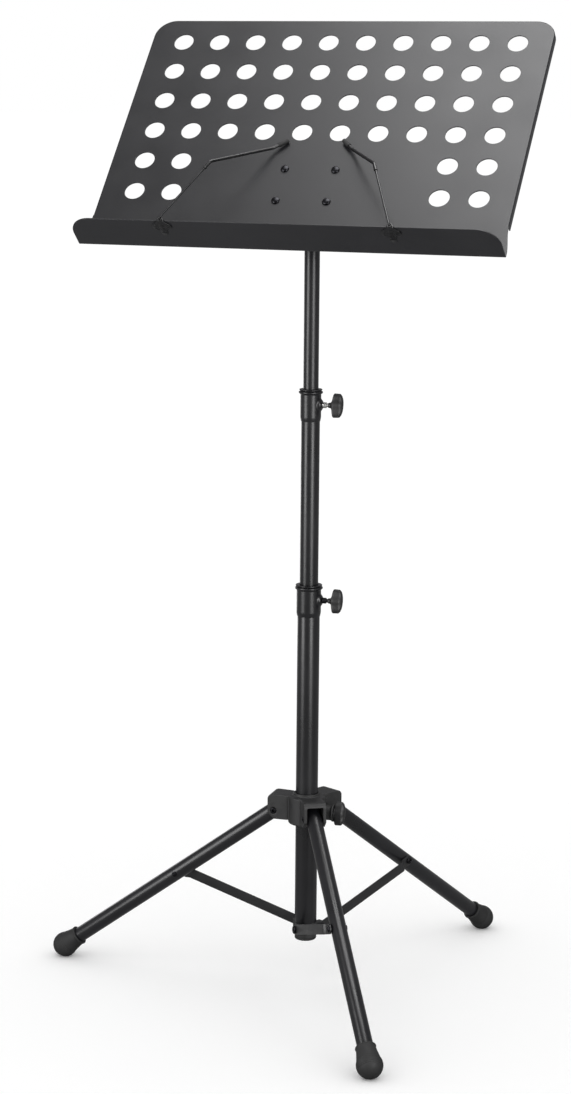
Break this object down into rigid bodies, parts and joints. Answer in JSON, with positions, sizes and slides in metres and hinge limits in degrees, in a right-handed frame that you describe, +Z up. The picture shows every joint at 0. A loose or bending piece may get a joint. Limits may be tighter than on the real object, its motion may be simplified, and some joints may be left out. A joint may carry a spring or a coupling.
{
  "type": "music stand",
  "caption": "Folding music stand: a perforated steel desk with a shelf and page-holder arms, on a telescopic mast with wing-knob clamps and a braced folding tripod.",
  "frame": {"origin": "on the floor, under the middle of the whole stand's box", "axes": "+X along the desk to the player's right, the desk faces -Y, +Z up"},
  "size_m": [0.5842, 0.574, 1.1537],
  "materials": {
    "desk_powder_coat": "satin black powder coat",
    "tube_lacquer": "semi-gloss black lacquer",
    "brace_lacquer": "satin black lacquer",
    "moulded_plastic": "fine-textured black",
    "knob_plastic": "pebbled black",
    "black_rubber": "matt black",
    "blacked_steel": "blacked",
    "bright_steel": "zinc plated",
    "lacquered_wire": "black lacquered wire"
  },
  "bodies": {
    "lower_mast": {"lower_tube": "tube_lacquer", "lower_collar": "tube_lacquer", "strap_collar": "moulded_plastic", "mast_plug": "moulded_plastic", "collar_rivet_left": "blacked_steel", "collar_rivet_right": "blacked_steel", "collar_rivet_front": "blacked_steel"},
    "hub": {"hub": "moulded_plastic", "leg_bolt_left": "blacked_steel", "leg_bolt_right": "blacked_steel", "leg_bolt_front": "blacked_steel"},
    "hub_clamp": {"hub_clamp_screw": "bright_steel", "hub_clamp_knob": "knob_plastic"},
    "lower_clamp": {"lower_clamp_screw": "bright_steel", "lower_clamp_knob": "knob_plastic"},
    "middle_runner": {"middle_glide": "moulded_plastic"},
    "middle_mast": {"middle_tube": "tube_lacquer", "upper_collar": "tube_lacquer"},
    "upper_clamp": {"upper_clamp_screw": "bright_steel", "upper_clamp_knob": "knob_plastic"},
    "upper_runner": {"upper_glide": "moulded_plastic"},
    "upper_mast": {"upper_tube": "tube_lacquer", "tilt_head": "moulded_plastic"},
    "desk": {"desk_panel": "desk_powder_coat", "tilt_bracket": "brace_lacquer", "desk_screw_1": "blacked_steel", "desk_screw_2": "blacked_steel", "desk_screw_3": "blacked_steel", "desk_screw_4": "blacked_steel", "tilt_washer_left": "black_rubber", "tilt_washer_right": "black_rubber", "tilt_bolt": "bright_steel", "holder_clip_left": "blacked_steel", "holder_clip_right": "blacked_steel"},
    "tilt_clamp": {"tilt_knob": "knob_plastic"},
    "leg_left": {"leg_left": "tube_lacquer", "leg_pin_left": "blacked_steel", "foot_left": "black_rubber"},
    "brace_left": {"brace_left": "brace_lacquer", "brace_rivet_left": "blacked_steel"},
    "leg_right": {"leg_right": "tube_lacquer", "leg_pin_right": "blacked_steel", "foot_right": "black_rubber"},
    "brace_right": {"brace_right": "brace_lacquer", "brace_rivet_right": "blacked_steel"},
    "leg_front": {"leg_front": "tube_lacquer", "leg_pin_front": "blacked_steel", "foot_front": "black_rubber"},
    "brace_front": {"brace_front": "brace_lacquer", "brace_rivet_front": "blacked_steel"},
    "holder_wire_left": {"holder_wire_left": "lacquered_wire"},
    "holder_rod_left": {"holder_rod_left": "lacquered_wire", "holder_tip_left": "black_rubber"},
    "holder_wire_right": {"holder_wire_right": "lacquered_wire"},
    "holder_rod_right": {"holder_rod_right": "lacquered_wire", "holder_tip_right": "black_rubber"}
  },
  "joints": [
    {"name": "hub_slide", "type": "slide", "parent": "lower_mast", "child": "hub", "axis": [0, 0, 1], "range_m": [0, 0.17319]},
    {"name": "leg_left_fold", "type": "hinge", "parent": "hub", "child": "leg_left", "pos_m": [-0.00086, -0.00803, 0.217], "axis": [0.041, -0.9992, 0], "range_deg": [0, 53.74]},
    {"name": "leg_right_fold", "type": "hinge", "parent": "hub", "child": "leg_right", "pos_m": [0.05475, 0.02719, 0.217], "axis": [-0.8858, 0.4641, 0], "range_deg": [0, 53.74]},
    {"name": "leg_front_fold", "type": "hinge", "parent": "hub", "child": "leg_front", "pos_m": [0.05744, -0.03857, 0.217], "axis": [0.8448, 0.5351, 0], "range_deg": [0, 53.74]},
    {"name": "brace_left_fold", "type": "hinge", "parent": "lower_mast", "child": "brace_left", "pos_m": [0.02512, -0.00696, 0.072], "axis": [0.041, -0.9992, 0], "range_deg": [-62.29, 0]},
    {"name": "brace_right_fold", "type": "hinge", "parent": "lower_mast", "child": "brace_right", "pos_m": [0.04268, 0.00416, 0.072], "axis": [-0.8858, 0.4641, 0], "range_deg": [-62.29, 0]},
    {"name": "brace_front_fold", "type": "hinge", "parent": "lower_mast", "child": "brace_front", "pos_m": [0.04353, -0.01661, 0.072], "axis": [0.8448, 0.5351, 0], "range_deg": [-62.29, 0]},
    {"name": "hub_clamp_turn", "type": "hinge", "parent": "hub", "child": "hub_clamp", "pos_m": [0.03711, -0.00647, 0.217], "axis": [0.9992, 0.041, 0], "range_deg": [0, 720]},
    {"name": "lower_clamp_turn", "type": "hinge", "parent": "lower_mast", "child": "lower_clamp", "pos_m": [0.03711, -0.00647, 0.4765], "axis": [0.9992, 0.041, 0], "range_deg": [0, 720]},
    {"name": "middle_slide", "type": "slide", "parent": "lower_mast", "child": "middle_runner", "axis": [0, 0, 1], "range_m": [-0.19, 0.12]},
    {"name": "middle_swivel", "type": "hinge", "parent": "middle_runner", "child": "middle_mast", "pos_m": [0.03711, -0.00647, 0], "axis": [0, 0, 1], "continuous": true},
    {"name": "upper_clamp_turn", "type": "hinge", "parent": "middle_mast", "child": "upper_clamp", "pos_m": [0.03711, -0.00647, 0.7096], "axis": [0.9992, 0.041, 0], "range_deg": [0, 720]},
    {"name": "upper_slide", "type": "slide", "parent": "middle_mast", "child": "upper_runner", "axis": [0, 0, 1], "range_m": [-0.168, 0.12]},
    {"name": "upper_swivel", "type": "hinge", "parent": "upper_runner", "child": "upper_mast", "pos_m": [0.03711, -0.00647, 0], "axis": [0, 0, 1], "continuous": true},
    {"name": "desk_tilt", "type": "hinge", "parent": "upper_mast", "child": "desk", "pos_m": [0.03711, -0.00647, 0.9418], "axis": [1, 0, 0], "range_deg": [-48, 41.8]},
    {"name": "tilt_clamp_turn", "type": "hinge", "parent": "desk", "child": "tilt_clamp", "pos_m": [0.03711, -0.00647, 0.9418], "axis": [1, 0, 0], "range_deg": [0, 720]},
    {"name": "holder_left_swing", "type": "hinge", "parent": "desk", "child": "holder_wire_left", "pos_m": [-0.10239, -0.06929, 0.87154], "axis": [0, -0.7455, 0.6665], "range_deg": [-10, 90]},
    {"name": "holder_left_turn", "type": "hinge", "parent": "holder_wire_left", "child": "holder_rod_left", "pos_m": [-0.06162, -0.07858, 0.99197], "axis": [-0.4384, -0.5991, -0.67], "range_deg": [0, 120]},
    {"name": "holder_right_swing", "type": "hinge", "parent": "desk", "child": "holder_wire_right", "pos_m": [0.16961, -0.06929, 0.87154], "axis": [0, 0.7455, -0.6665], "range_deg": [-10, 90]},
    {"name": "holder_right_turn", "type": "hinge", "parent": "holder_wire_right", "child": "holder_rod_right", "pos_m": [0.13327, -0.07724, 0.99348], "axis": [-0.3907, 0.6135, 0.6862], "range_deg": [0, 120]}
  ],
  "couplings": [
    {"joint": "leg_left_fold", "follows": "hub_slide", "rad_per_m": 5.4149},
    {"joint": "leg_right_fold", "follows": "hub_slide", "rad_per_m": 5.4149},
    {"joint": "leg_front_fold", "follows": "hub_slide", "rad_per_m": 5.4149},
    {"joint": "brace_left_fold", "follows": "hub_slide", "rad_per_m": -6.2762},
    {"joint": "brace_right_fold", "follows": "hub_slide", "rad_per_m": -6.2762},
    {"joint": "brace_front_fold", "follows": "hub_slide", "rad_per_m": -6.2762}
  ]
}
